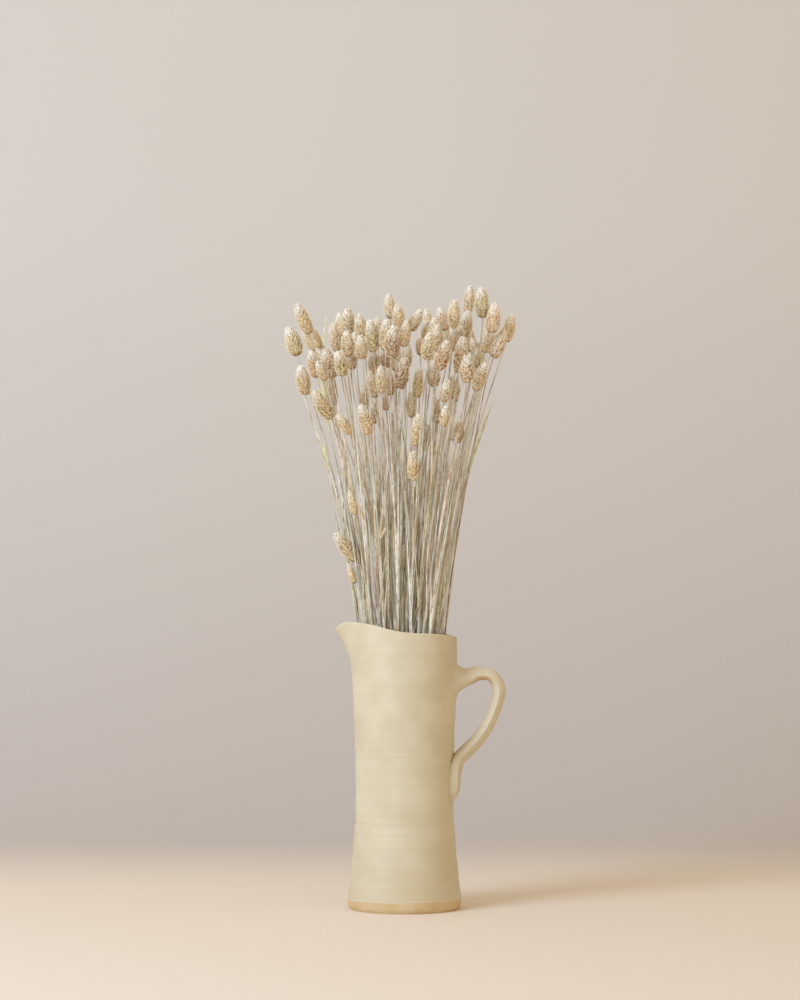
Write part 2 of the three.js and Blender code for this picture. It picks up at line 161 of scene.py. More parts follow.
# Stalks: where the tip and the foot of the seed head show in the camera's view (x, z), the head's width,
# and how far the head stands behind the jug's axis (in front of it if negative)
STALKS = [
    (-116, 581, -107, 552, 16, 50),
    (-108, 604, -95, 574, 13, -10),
    (-102, 580, -88, 557, 11, 45),
    (-91, 578, -85, 560, 8, 5),
    (-86, 565, -77, 538, 12, 15),
    (-79, 559, -72, 530, 15, -45),
    (-93, 557, -87, 530, 14, 30),
    (-87, 546, -79, 527, 9, -20),
    (-67, 556, -61, 532, 13, -75),
    (-72, 585, -67, 556, 12, -5),
    (-65, 595, -62, 571, 11, 75),
    (-57, 599, -56, 574, 13, 25),
    (-46, 593, -42, 571, 12, 15),
    (-58, 577, -56, 551, 13, -25),
    (-49, 575, -48, 549, 13, 5),
    (-44, 572, -42, 549, 12, -65),
    (-53, 563, -53, 538, 12, 55),
    (-104, 542, -99, 513, 14, -15),
    (-91, 517, -73, 489, 15, -40),
    (-67, 493, -53, 474, 10, -50),
    (-73, 534, -70, 502, 8, 45),
    (-80, 533, -76, 508, 7, 60),
    (-35, 588, -31, 556, 13, -30),
    (-27, 590, -26, 561, 12, 35),
    (-18, 588, -19, 557, 13, -35),
    (-11, 581, -13, 549, 16, -75),
    (-16, 614, -14, 589, 11, 70),
    (-7, 604, -5, 577, 12, 5),
    (2, 587, -1, 561, 11, -20),
    (16, 598, 6, 577, 11, 15),
    (22, 598, 25, 579, 9, 75),
    (-32, 558, -30, 533, 11, 45),
    (-19, 561, -20, 534, 11, 65),
    (-8, 561, -9, 537, 12, 45),
    (3, 564, 2, 540, 10, 30),
    (0, 550, -5, 519, 14, -30),
    (16, 575, 16, 552, 9, 60),
    (25, 574, 22, 548, 13, -80),
    (21, 586, 23, 564, 11, 35),
    (30, 590, 29, 561, 12, 15),
    (33, 583, 33, 556, 12, -30),
    (35, 600, 41, 577, 11, 45),
    (50, 608, 49, 580, 12, -45),
    (64, 597, 59, 570, 12, -15),
    (66, 622, 63, 595, 11, 15),
    (77, 620, 78, 590, 14, -15),
    (91, 604, 87, 575, 14, -25),
    (108, 593, 101, 566, 12, 10),
    (81, 579, 80, 555, 13, 35),
    (100, 578, 89, 550, 13, -15),
    (92, 574, 86, 554, 10, 45),
    (68, 569, 72, 552, 9, 45),
    (65, 582, 67, 555, 9, 65),
    (49, 581, 51, 556, 11, -10),
    (54, 586, 56, 563, 9, 75),
    (41, 583, 42, 560, 9, 70),
    (43, 567, 34, 538, 14, -50),
    (59, 572, 54, 535, 14, -30),
    (63, 552, 62, 525, 15, -65),
    (74, 560, 74, 534, 12, 0),
    (81, 545, 71, 517, 12, -35),
    (29, 547, 29, 521, 13, 0),
    (-44, 503, -35, 473, 12, -70),
    (-41, 525, -39, 497, 8, 40),
    (-35, 537, -29, 510, 11, 0),
    (-24, 542, -23, 515, 10, -60),
    (-30, 506, -30, 484, 7, 60),
    (-17, 540, -14, 512, 10, 10),
    (-21, 518, -18, 497, 7, 65),
    (15, 541, 12, 510, 10, -10),
    (7, 517, 7, 490, 9, 30),
    (14, 494, 11, 461, 11, -50),
    (22, 484, 22, 461, 7, 35),
    (43, 527, 39, 506, 11, -60),
    (48, 532, 47, 509, 9, 25),
    (53, 526, 51, 506, 7, 55),
    (31, 511, 33, 484, 8, 15),
    (41, 501, 39, 481, 9, -65),
    (55, 488, 53, 465, 12, -45),
    (47, 488, 49, 467, 7, 15),
    (8, 456, 9, 427, 11, -65),
    (-55, 417, -49, 393, 8, -40),
    (-69, 375, -48, 347, 14, -20),
    (-1, 363, -1, 338, 7, -10),
    (-56, 345, -50, 324, 6, -20),
    (-9, 587, -8, 563, 11, 30),
]

# The bunch spreads from the jug's mouth, in curves that grow with height, and draws in towards the feet
MOUTH_HEIGHT = 275
BUNCH_CENTRE_X = -2.5
SPREAD_SLOPE = 0.0026
SPREAD_CURVE = 0.0000083
SPREAD_LEAST = 0.62

# The stems sway sideways and in depth, each as its neighbours do
SWAY_HEIGHT = 300
SWAY_X = {"reach": 5, "turn": 2 * math.pi / 31, "phase": 0.7}
SWAY_Y = {"reach": 4, "turn": 2 * math.pi / 37, "phase": 2.1}

# Each stem bends into its head's own direction over the neck, and is cut off just above the inner floor
NECK_LENGTH = 80
FEET_HEIGHT = 7.3

# Stalks that are joined two and two lean together below this height, until their feet stand this far apart
JOINED_BELOW = 110
JOINED_FOOT_STEP = 0.9

# Between the jug's mouth and its head each stem also wanders a little from the fan's curve:
# how far, and in how many waves
WANDER_REACH = (0.8, 2.8)
WANDER_WAVES = (0.7, 2)

# Stems are drawn from height to height, in longer steps down inside the jug
STEM_SIDES = 8
STEM_STEP = 12
STEM_HIDDEN_STEP = 38
STEM_HIDDEN_DEPTH = 80
STEM_LEAST_STEP = 0.8
STEM_IN_HEAD = 2
STEM_RADIUS_HEAD = 0.5
STEM_RADIUS_BARE = 0.8
STEM_THIN_LENGTH = 180

# Leaf sheaths wrap the stem, each from a swollen joint up to its own flattened mouth
STEM_RADIUS_JOINT = 1
STEM_RADIUS_SHEATH = 1.5
JOINT_SWELL = 1.12
JOINT_LEVELS = (-2, 0, 2)
JOINT_WITHIN = 1
SHEATH_MOUTH_LEVELS = (-1, 0.4)
SHEATH_FLATNESS = 0.6
SHEATH_LENGTHS = (70, 135)
SHEATH_LEAST_HEIGHT = 60
BARE_LENGTHS = (0, 25)
FIRST_SHEATH_BELOW = (90, 210)

# The outermost stems are bare where they leave the jug
SLIM_FROM_X = 35
SLIM_DOWN_TO = 215

# Leaves: number of the stalk, height where the leaf parts from the stem, its tip in the camera's view (x, z),
# how far the tip stands behind the leaf's root, how far the blade bows to the right, its width and its tone
LEAVES = [
    (7, 480, -78, 596, 9, 0, 4.6, "fresh"),
    (18, 440, -79, 468, 0, 0, 2.6, "fresh"),
    (19, 425, -70, 443, -6, 0, 2.8, "straw"),
    (7, 388, -66, 411, -6, -2, 3.2, "straw"),
    (6, 405, -53, 431, -8, 0, 3, "green"),
    (9, 380, -43, 406, -6, 0, 3.4, "ochre"),
    (48, 436, 88, 505, -14, 3, 3.4, "green"),
    (50, 430, 83, 497, -8, 2, 2.6, "straw"),
    (62, 455, 17, 468, -4, 0, 3, "ochre"),
    (66, 378, -28, 364, -8, 0, 2.4, "blush"),
    (26, 262, -11, 291, -4, 0, 5, "ochre"),
    (59, 288, 31, 322, -3, 0, 4.4, "ochre"),
    (81, 424, 18, 440, -2, 3, 3.4, "ochre"),
]

# A leaf sets out along its stem and then turns to its tip: its middle point lies this share of the way
# to the tip, and this share of its rise along the stem
LEAF_MIDDLE = 0.1
LEAF_FOLLOW = 0.45
LEAF_TWIST = 0.5

# All leaves and blades are of one width at the root, come to their own, and thin and narrow to a point
LEAF_STATIONS = 9
LEAF_SIDES = 4
LEAF_HALF_THICKNESS = 0.4
LEAF_THINNING = 0.6
LEAF_ROOT_HALF_WIDTH = 1.1
LEAF_LEAST_HALF_WIDTH = 0.25
LEAF_FULL_WIDTH_AT = 0.25
LEAF_TAPER_START = 3
LEAF_TAPER_POWER = 0.9
LEAF_PALE_FROM = 0.3
LEAF_TIP_PALENESS = 0.5

# Narrow dry blades: this share of the sheaths has one at its mouth, and each stem has this many more
# between these heights, but those that would be short or stay inside the jug are left out
BLADE_SHARE = 0.9
LOOSE_BLADES = 5
LOOSE_BLADE_HEIGHTS = (215, 420)
BLADE_LENGTHS = (40, 150)
BLADE_WIDTHS = (1.2, 2.6)
BLADE_SLANT = (0.02, 0.22)
BLADE_TWIST = 1.2
BLADE_FOLLOW = 0.2
BLADE_UNDER_HEAD = 12
BLADE_ROOT_DROP = 3
BLADE_ROOT_OUT = 0.6

# On the outer side of stems that stand further than this from the middle, blades slant less
OUTER_STEM = 28
OUTWARD_SLANT = 0.35

# Seed heads: an egg-shaped core under a spiral of keeled, pointed scales
GOLDEN_ANGLE = math.pi * (3 - math.sqrt(5))
HEAD_START = 0.04
HEAD_SPAN = 0.9
HEAD_LEAN = 0.74
HEAD_FULLNESS = 0.66
CORE_REACH = 0.62
CORE_START = 0.03
CORE_SPAN = 0.9
CORE_RINGS = 9
CORE_SIDES = 10

# How far out scales root and end, against the head's outline: tips differ, and close in at the crown
SCALE_ROOT_REACH = 0.6
SCALE_TIP_REACH = 1.19
SCALE_TIP_SPREAD = (0.82, 1.26)
CROWN_START = 0.82
CROWN_REACH = 0.95
CROWN_TIPS = (0.9, 1.04)
LAST_ROOT = 0.88
ROOT_STEPS = 60

# One scale, on a head of full width; its stations are shares of its length and of its width
SCALE_PITCH = 1.95
SCALE_LENGTH = 4.8
SCALE_WIDTH = 2.7
SCALE_DEPTH = 1
SCALE_SIDES = 4
SCALE_STATIONS = [(0, 0.5), (0.42, 1), (0.74, 0.72)]
SCALE_CURL = 0.7
KEEL_WITHIN = 0.1

# Smaller heads have smaller scales, and those of one head differ and are narrower towards its crown
FULL_HEAD_WIDTH = 13
SCALE_SIZE_POWER = 0.35
SCALE_SIZES = (0.9, 1.1)
SCALE_RISE = 0.94
SCALE_NARROWING = 0.3
SCALE_TURNS = (-0.15, 0.15)
HEAD_AREA_SHARE = 0.8


def paint(red, green, blue):
    """A colour that was judged in 0 to 255, as the shaders hold it."""
    return Vector([((part / 255 + 0.055) / 1.055) ** 2.4 for part in (red, green, blue)])


# Colours of the seed heads, and the numbers of the stalks that are not plain tan
HEAD_TAN = paint(246, 226, 176)
HEAD_TONES = {
    "greenish": (paint(240, 228, 178), [1, 9, 23, 38, 46, 60, 70, 71]),
    "pinkish": (paint(248, 227, 190), [5, 10, 34, 42, 45, 47, 50, 58, 59, 62, 63]),
    "brown": (paint(218, 186, 140), [6, 17, 21, 26, 32, 33, 36, 53, 64, 67, 68, 69, 73, 76, 77, 79]),
    "orange": (paint(238, 202, 146), [7, 37, 54, 57]),
    "olive": (paint(216, 194, 140), [44]),
    "pale": (paint(248, 234, 194), [22, 83]),
}
HEAD_BRIGHTNESS = (0.93, 1.07)

# The core is brown, and is coloured as a scale is this far along it, so it carries the scales' painted root
# shade in full
CORE_BROWN = paint(170, 138, 92)
CORE_ALONG = 0.3

# Scales differ in brightness, one in five is nearly white, and those near the crown are whiter
SCALE_WHITE = paint(254, 252, 238)
SCALE_BRIGHTNESS = (0.9, 1.3)
SCALE_FLECKS = [0.03, 0.06, 0.1, 0.2, 0.75]
WHITE_TIPPED = [2, 5, 16, 18, 59, 66, 74]
HEAD_WHITENESS = (0.6, 1)
SCALE_WHITENESS = (0.75, 1)
WHITE_FROM = (0.6, 0.82)

# Inside one scale: where its brown root, darkened as painted shade where the tips below overlap it, ends and
# its pale tip starts, as shares of its length. Its fibres are darkened with the same colour
SCALE_SHADE_AND_FIBRE_DARK = Vector((0.56, 0.44, 0.3))
SCALE_ROUGHNESS = 0.75
SCALE_PALENESS = 0.75
SCALE_ROOT_SHADE_ENDS = (0.48, 0.7)
SCALE_ROOT_PAINTED_SHADE = 0.8
SCALE_TIP_STARTS = (0.7, 0.9)
SCALE_TIP_WHITENESS = 0.9
SCALE_EDGE_WHITENESS = 0.3
SCALE_FIBRES = 700
SCALE_FIBRE_LEVELS = (0.5, 0.7)
SCALE_FIBRE_DARKNESS = 0.15
SCALE_RELIEF = (0.4, 0.0003)

# Colours of the stems, and how often each is drawn
STRAW_TONES = [
    paint(230, 227, 212),
    paint(204, 205, 180),
    paint(222, 204, 166),
    paint(216, 196, 178),
    paint(190, 186, 118),
    paint(158, 132, 92),
]
STRAW_WEIGHTS = [9, 6, 4, 5, 2, 2]
STRAW_BRIGHTNESS = (0.85, 1.25)

# Along a stem the colour changes a little from ring to ring, and is browner at the neck and the joints
RING_BRIGHTNESS = (0.75, 1.25)
RING_CHANGE = (0, 0.5)
SHEATH_CHANGE = 0.5
NECK_TONE = paint(178, 158, 122)
NECK_BROWNNESS = 0.6
JOINT_BROWN = paint(150, 120, 80)
JOINT_BROWNNESS = 0.6

# Fibres and patches of straw: how fine they are, and between which levels of their noise they show
STRAW_SHADE = Vector((0.62, 0.55, 0.43))
STRAW_ROUGHNESS = 0.6
STRAW_FIBRES = (1000, 1000, 35)
STRAW_FIBRE_LEVELS = (0.57, 0.64)
STRAW_FIBRE_DARKNESS = 0.8
STRAW_PATCHES = (420, 420, 150)
DARK_PATCH_LEVELS = (0.54, 0.64)
DARK_PATCH_DARKNESS = 0.6
PALE_PATCH_LEVELS = (0.38, 0.48)
PALE_PATCH_PALENESS = 0.8
STRAW_PALENESS = 0.6
STRAW_RELIEF = (0.4, 0.0002)

LEAF_TONES = {
    "fresh": paint(222, 218, 142),
    "green": paint(200, 197, 140),
    "straw": paint(214, 214, 178),
    "ochre": paint(206, 172, 116),
    "blush": paint(246, 218, 190),
}

# Jug's finish: the glaze ends this high above the foot at the axis, and lower towards the back
GLAZE_LINE = 9.4
GLAZE_LINE_TILT = 0.03

# In metres: how the line wavers, how soft it is, and where the glaze above it has a pale edge
GLAZE_LINE_WAVER = 0.003
GLAZE_LINE_WAVES = 22
GLAZE_EDGE = (-0.0004, 0.0004)
GLAZE_EDGE_PALE = (0.0004, 0.0022)
GLAZE_EDGE_PALENESS = 0.6
GLAZE_CREAM = paint(209, 198, 165)
GLAZE_LIGHT = paint(218, 208, 178)
GLAZE_ROUGHNESS = 0.58

# The glaze is mottled, and warmer in clouds, in thin level streaks, and low down
GLAZE_WARM = paint(202, 186, 148)
MOTTLE_SCALE = 28
MOTTLE_LEVELS = (0.35, 0.7)
CLOUD_SCALE = 9
CLOUD_WARMTH = 0.4
STREAK_SCALES = (3, 3, 420)
STREAK_WARMTH = 0.35
WARM_LEVELS = (0.5, 0.75)
LOW_GLAZE = (0.01, 0.1)
LOW_WARMTH = 0.4

# The glaze is orange and darker in one small place, just under the handle's bend (in metres)
GLAZE_ORANGE_SPOT = paint(198, 152, 98)
UNDER_HANDLE_SPOT = Vector((0.078, -0.002, 0.224))
UNDER_HANDLE_SPOT_REACH = 0.013
UNDER_HANDLE_SPOT_CORE = 0.3
UNDER_HANDLE_SPOT_STRENGTH = 0.9

CLAY_WARM = paint(206, 178, 131)
CLAY_LIGHT = paint(215, 192, 148)
CLAY_ROUGHNESS = 0.85
CLAY_SCALE = 60

# Relief: the shares of streaks, grain and glaze, and the strength and height of it all
STREAK_RELIEF = 0.6
GRAIN_RELIEF = 0.25
GRAIN_SCALE = 900
GLAZE_RELIEF = 0.5
STONEWARE_RELIEF = (0.35, 0.0006)

# Paper, in metres
PAPER_HALF_WIDTH = 4
PAPER_FRONT = -3
PAPER_BEND_START = 0.7
PAPER_BEND = 0.7
PAPER_BEND_STEPS = 24
PAPER_HEIGHT = 4
FLOOR_WARM = paint(238, 224, 202)
PAPER_LOW = paint(203, 197, 189)
# Painted light: the paper is lighter higher up, going from the low colour to this one as it rises
PAPER_HIGH_PAINTED_LIGHT = paint(222, 219, 210)
PAPER_ROUGHNESS = 0.9
PAPER_PAINTED_LIGHT_RISE = (0, 1)
PAPER_DEPTH_TURNS = (0.1, 0.9)

# Light: one large soft lamp in front at the left, in metres and watts, and warm even surroundings
LAMP_PLACE = (-1.7, -1.7, 1.5)
LAMP_AIM = (0, 0, 0.3)
LAMP_SIZE = 1.4
LAMP_POWER = 58
LAMP_COLOUR = (0.56, 0.72, 1)
SURROUND_COLOUR = (1, 0.83, 0.66)
SURROUND_STRENGTH = 0.71

# Edges sharper than this stay sharp
SHARP_ANGLE = math.radians(38)


# Shaping tools

def smooth_step(low, high, at):
    share = min(1, max(0, (at - low) / (high - low)))
    return share * share * (3 - 2 * share)


def smooth_line(points, steps_between):
    """More points along a smooth line through some points, which may have any number of coordinates."""
    line = []
    last = len(points) - 1
    for i in range(last):
        before, here, there, after = (points[min(max(k, 0), last)] for k in (i - 1, i, i + 1, i + 2))
        steps = steps_between(here, there)
        for step in range(steps):
            t = step / steps
            line.append(tuple(
                0.5 * (2 * b + (c - a) * t + (2 * a - 5 * b + 4 * c - d) * t ** 2
                       + (3 * b - a - 3 * c + d) * t ** 3)
                for a, b, c, d in zip(before, here, there, after)
            ))
    line.append(tuple(points[-1]))
    return line


def laid_across(centre, along, half_width, half_depth, turn=0):
    """The matrix that lays a flat unit circle across a way, turned about it."""
    along = along.normalized()
    sideways = BACK.cross(along).normalized()
    axes = Matrix((sideways, along.cross(sideways), along)).transposed()
    size = Matrix.Diagonal((half_width, half_depth, 1))
    return Matrix.Translation(centre) @ (axes @ Matrix.Rotation(turn, 3, "Z") @ size).to_4x4()


def drawn_on(bm, edges):
    """Grows faces from edges, and returns the new vertices and edges, which still lie on the old ones."""
    grown = bmesh.ops.extrude_edge_only(bm, edges=edges)["geom"]
    verts = [part for part in grown if isinstance(part, bmesh.types.BMVert)]
    return verts, [part for part in grown if isinstance(part, bmesh.types.BMEdge)]


def sweep(bm, places, sides, tip=None):
    """Draws a closed ring from place to place, up to the tip if there is one, and returns each ring."""
    made = bmesh.ops.create_circle(bm, cap_ends=True, segments=sides, radius=1, matrix=places[0])
    rings = [made["verts"]]
    edges = list({edge for vert in made["verts"] for edge in vert.link_edges})
    for before, place in zip(places, places[1:]):
        verts, edges = drawn_on(bm, edges)
        bmesh.ops.transform(bm, matrix=place @ before.inverted(), verts=verts)
        rings.append(verts)
    if tip is None:
        bmesh.ops.contextual_create(bm, geom=edges)
    else:
        verts, _ = drawn_on(bm, edges)
        bmesh.ops.pointmerge(bm, verts=verts, merge_co=tip)
        rings.append([vert for vert in verts if vert.is_valid])
    return rings


def mesh_of(bm, name):
    mesh = bpy.data.meshes.new(name)
    bm.to_mesh(mesh)
    bm.free()
    return mesh


def shown(name, data):
    """A new object in the scene, for a mesh, a lamp or a camera."""
    item = bpy.data.objects.new(name, data)
    bpy.context.scene.collection.objects.link(item)
    return item


def add_piece(bm, name, finishes, nodes):
    """Finishes a piece that was drawn in millimetres, and puts it in the place of its nodes."""
    bmesh.ops.scale(bm, vec=(MM, MM, MM), verts=bm.verts)
    bmesh.ops.recalc_face_normals(bm, faces=bm.faces)
    mesh = mesh_of(bm, name)
    mesh.shade_smooth()
    mesh.set_sharp_from_angle(angle=SHARP_ANGLE)
    for finish in finishes:
        mesh.materials.append(finish)
    piece = shown(name, mesh)
    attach(piece, "root")
    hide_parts(*nodes)


# Finishes

class Value:
    """A socket, held so that sums on the number it carries are written as sums."""

    def __init__(self, finish, socket):
        self.finish = finish
        self.socket = socket

    def maths(self, operation, first, second):
        return self.finish.node("ShaderNodeMath", {"operation": operation}, {0: first, 1: second})

    def __add__(self, other):
        return self.maths("ADD", self, other)

    __radd__ = __add__

    def __sub__(self, other):
        return self.maths("SUBTRACT", self, other)

    def __rsub__(self, other):
        return self.maths("SUBTRACT", other, self)

    def __mul__(self, other):
        return self.maths("MULTIPLY", self, other)

    __rmul__ = __mul__


class Finish:
    """A material: one shader, and other nodes that all come from one method."""

    def __init__(self, name, roughness):
        self.material = bpy.data.materials.new(name)
        self.material.use_nodes = True
        self.tree = self.material.node_tree
        self.tree.nodes.clear()
        self.shader = self.tree.nodes.new("ShaderNodeBsdfPrincipled")
        self.shader.inputs["Roughness"].default_value = roughness
        output = self.tree.nodes.new("ShaderNodeOutputMaterial")
        self.tree.links.new(self.shader.outputs["BSDF"], output.inputs["Surface"])

    def feed(self, socket, value):
        if isinstance(value, Value):
            self.tree.links.new(value.socket, socket)
        elif isinstance(value, Vector) and socket.type == "RGBA":
            socket.default_value = (*value, 1)
        else:
            socket.default_value = value

    def node(self, kind, settings, inputs, output=0):
        node = self.tree.nodes.new(kind)
        for name, setting in settings.items():
            setattr(node, name, setting)
        for key, value in inputs.items():
            self.feed(node.inputs[key], value)
        return Value(self, node.outputs[output])

    def give(self, socket, value):
        self.feed(self.shader.inputs[socket], value)

    def mix(self, factor, first, second, blend="MIX"):
        settings = {"data_type": "RGBA", "blend_type": blend}
        return self.node("ShaderNodeMix", settings, {0: factor, 6: first, 7: second}, 2)

    def fade(self, value, low, high):
        """0 below a value, 1 above another, and smooth between them."""
        settings = {"interpolation_type": "SMOOTHSTEP"}
        return self.node("ShaderNodeMapRange", settings, {"Value": value, 1: low, 2: high})

    def place(self):
        return self.node("ShaderNodeTexCoord", {}, {}, "Object")

    def part(self, vector, axis):
        return self.node("ShaderNodeSeparateXYZ", {}, {0: vector}, axis)

    def stretched(self, vector, scale):
        return self.node("ShaderNodeMapping", {}, {"Vector": vector, "Scale": scale})

    def noise(self, vector, scale, detail=3):
        return self.node("ShaderNodeTexNoise", {}, {"Vector": vector, "Scale": scale, "Detail": detail})

    def attribute(self, name):
        return self.node("ShaderNodeAttribute", {"attribute_name": name}, {}, "Color")

    def bump(self, height, strength, distance):
        inputs = {"Height": height, "Strength": strength, "Distance": distance}
        self.give("Normal", self.node("ShaderNodeBump", {}, inputs))


def stoneware():
    """Matte cream glaze that stops in a slightly uneven line above a band of bare warm clay."""
    finish = Finish("stoneware", GLAZE_ROUGHNESS)
    place = finish.place()
    height = finish.part(place, "Z")
    depth = finish.part(place, "Y")
    mottle = finish.noise(place, MOTTLE_SCALE)
    cloud = finish.noise(place, CLOUD_SCALE, 2)
    streaks = finish.noise(finish.stretched(place, STREAK_SCALES), 1, 2)
    glaze = finish.mix(finish.fade(mottle, *MOTTLE_LEVELS), GLAZE_CREAM, GLAZE_LIGHT)
    glaze = finish.mix(finish.fade(streaks, *WARM_LEVELS) * STREAK_WARMTH, glaze, GLAZE_WARM)
    glaze = finish.mix(finish.fade(cloud, *WARM_LEVELS) * CLOUD_WARMTH, glaze, GLAZE_WARM)
    glaze = finish.mix((1 - finish.fade(height, *LOW_GLAZE)) * LOW_WARMTH, glaze, GLAZE_WARM)
    waver = (finish.noise(place, GLAZE_LINE_WAVES, 2) - 0.5) * GLAZE_LINE_WAVER
    above = height - (GLAZE_LINE * MM - GLAZE_LINE_TILT * depth + waver)
    glazed = finish.fade(above, *GLAZE_EDGE)
    edge = glazed * (1 - finish.fade(above, *GLAZE_EDGE_PALE))
    glaze = finish.mix(edge * GLAZE_EDGE_PALENESS, glaze, GLAZE_LIGHT)
    # Orange and darker in one small place just under the handle's bend
    from_spot = finish.node("ShaderNodeVectorMath", {"operation": "DISTANCE"}, {0: place, 1: UNDER_HANDLE_SPOT}, 1)
    spot = 1 - finish.fade(from_spot, UNDER_HANDLE_SPOT_CORE * UNDER_HANDLE_SPOT_REACH, UNDER_HANDLE_SPOT_REACH)
    glaze = finish.mix(spot * UNDER_HANDLE_SPOT_STRENGTH, glaze, GLAZE_ORANGE_SPOT)
    clay = finish.mix(finish.fade(finish.noise(place, CLAY_SCALE), *MOTTLE_LEVELS), CLAY_WARM, CLAY_LIGHT)
    finish.give("Base Color", finish.mix(glazed, clay, glaze))
    finish.give("Roughness", CLAY_ROUGHNESS - (CLAY_ROUGHNESS - GLAZE_ROUGHNESS) * glazed)
    grain = finish.noise(place, GRAIN_SCALE, 4)
    relief = streaks * STREAK_RELIEF + grain * GRAIN_RELIEF + glazed * GLAZE_RELIEF
    finish.bump(relief, *STONEWARE_RELIEF)
    return finish.material


def dry_scale():
    """Papery seed scale: brown at the root and darkened there as painted shade where the scales below overlap
    it, and pale at its edges and its tip.
    """
    finish = Finish("dry_scale", SCALE_ROUGHNESS)
    grain = finish.attribute("grain")
    tint = finish.attribute("tint")
    along = finish.part(grain, "X")
    keel = finish.part(grain, "Y")
    fibre = finish.noise(finish.place(), SCALE_FIBRES, 2)
    pale = finish.mix(SCALE_PALENESS, tint, SCALE_WHITE)
    dark = finish.mix(1, tint, SCALE_SHADE_AND_FIBRE_DARK, "MULTIPLY")
    # Painted shade: each scale darkens towards its root, where the tips of the scales below overlap it
    colour = finish.mix((1 - finish.fade(along, *SCALE_ROOT_SHADE_ENDS)) * SCALE_ROOT_PAINTED_SHADE, tint, dark)
    colour = finish.mix(finish.fade(along, *SCALE_TIP_STARTS) * SCALE_TIP_WHITENESS, colour, pale)
    colour = finish.mix((1 - keel) * SCALE_EDGE_WHITENESS, colour, pale)
    colour = finish.mix(finish.fade(fibre, *SCALE_FIBRE_LEVELS) * SCALE_FIBRE_DARKNESS, colour, dark)
    finish.give("Base Color", colour)
    finish.bump(fibre, *SCALE_RELIEF)
    return finish.material


def dry_straw():
    """Straw with fine fibres along the stem, and darker and paler patches."""
    finish = Finish("dry_straw", STRAW_ROUGHNESS)
    tint = finish.attribute("tint")
    place = finish.place()
    fibre = finish.noise(finish.stretched(place, STRAW_FIBRES), 1, 2)
    patch = finish.noise(finish.stretched(place, STRAW_PATCHES), 1, 2)
    dark = finish.mix(1, tint, STRAW_SHADE, "MULTIPLY")
    pale = finish.mix(STRAW_PALENESS, tint, STRAW_TONES[0])
    colour = finish.mix(finish.fade(patch, *DARK_PATCH_LEVELS) * DARK_PATCH_DARKNESS, tint, dark)
    colour = finish.mix((1 - finish.fade(patch, *PALE_PATCH_LEVELS)) * PALE_PATCH_PALENESS, colour, pale)
    colour = finish.mix(finish.fade(fibre, *STRAW_FIBRE_LEVELS) * STRAW_FIBRE_DARKNESS, colour, dark)
    finish.give("Base Color", colour)
    finish.bump(fibre, *STRAW_RELIEF)
    return finish.material


def seamless_paper():
    """Warm pale floor that turns to grey beige as it rises, with painted light that makes it lighter towards
    the top.
    """
    finish = Finish("seamless_paper", PAPER_ROUGHNESS)
    place = finish.place()
    # Painted light: lighter as it rises
    risen = finish.fade(finish.part(place, "Z"), *PAPER_PAINTED_LIGHT_RISE)
    behind = finish.fade(finish.part(place, "Y"), *PAPER_DEPTH_TURNS)
    finish.give("Base Color", finish.mix(behind, FLOOR_WARM, finish.mix(risen, PAPER_LOW, PAPER_HIGH_PAINTED_LIGHT)))
    return finish.material


# Jug

def rim_height_at(x):
    """The rim's height, by how far towards the handle it is."""
    wave = RIM_WAVE["rise"] * math.tanh((x - RIM_WAVE["centre"]) / RIM_WAVE["length"])
    droop = RIM_DROOP["depth"] * (max(0, x - RIM_DROOP["start"]) / RIM_DROOP["length"]) ** 2
    dip = RIM_DIP["depth"] * (max(0, RIM_DIP["start"] - x) / RIM_DIP["length"]) ** 2
    return RIM_MIDDLE - wave - droop - dip


def shape_mouth(point):
    """Moves a point of the plain round body to the waved rim and the spout."""
    if point.z <= SPOUT_START:
        return
    radius = math.hypot(point.x, point.y)
    if radius == 0:
        return
    from_spout = math.pi - abs(math.atan2(point.y, point.x))
    reach = SPOUT_REACH * math.exp(-((from_spout / SPOUT_HALF_ANGLE) ** 2))
    rim = rim_height_at(point.x * (radius + reach) / radius)
    rim += BACK_RIM_RISE * max(0, point.y) / radius * smooth_step(*BACK_RIM_FROM_X, point.x)
    share = (point.z - SPOUT_START) / (RIM_HEIGHT - SPOUT_START)
    stretch = 1 + reach * share ** SPOUT_CURVE / radius
    point.x *= stretch
    point.y *= stretch
    point.z = SPOUT_START + share * (rim - SPOUT_START)


def body_outline():
    """Half of the jug's section, from the middle of its foot over the rim to that of the inner floor."""
    def steps(here, there):
        return max(1, round(math.dist(here, there) / BODY_STEP))

    side = smooth_line(BODY_SIDE, steps)
    outside = [(0, 0), (UNDERSIDE_RING, 0)] + [(radius + throwing_rings(z), z) for radius, z in side]
    rim_radius = BODY_SIDE[-1][0]
    rim = []
    for step in range(RIM_STEPS + 1):
        angle = step / RIM_STEPS * math.pi / 2
        out, up = RIM_ROUND * math.cos(angle), RIM_ROUND * math.sin(angle)
        rim.append((rim_radius - RIM_ROUND + out, RIM_HEIGHT - RIM_ROUND + up))
    inner_rim = [(2 * rim_radius - WALL - radius, z) for radius, z in reversed(rim)]
    lowest, highest = INNER_FLOOR + INNER_CORNER, rim[0][1] - RIM_CLEAR
    inside = [(radius - WALL, z) for radius, z in reversed(side) if lowest < z < highest]
    floor_radius = inside[-1][0]
    corner = [(floor_radius - inwards, INNER_FLOOR + up) for inwards, up in INNER_CORNER_POINTS]
    return outside[:-1] + rim + inner_rim + inside + corner + [(0, INNER_FLOOR)]


def throwing_rings(z):
    """How far the wall stands out at a height."""
    share = smooth_step(*THROWING_STARTS, z) * (1 - smooth_step(*THROWING_ENDS, z))
    return share * sum(reach * math.sin(2 * math.pi * z / pitch + pitch) for reach, pitch in THROWING_RINGS)


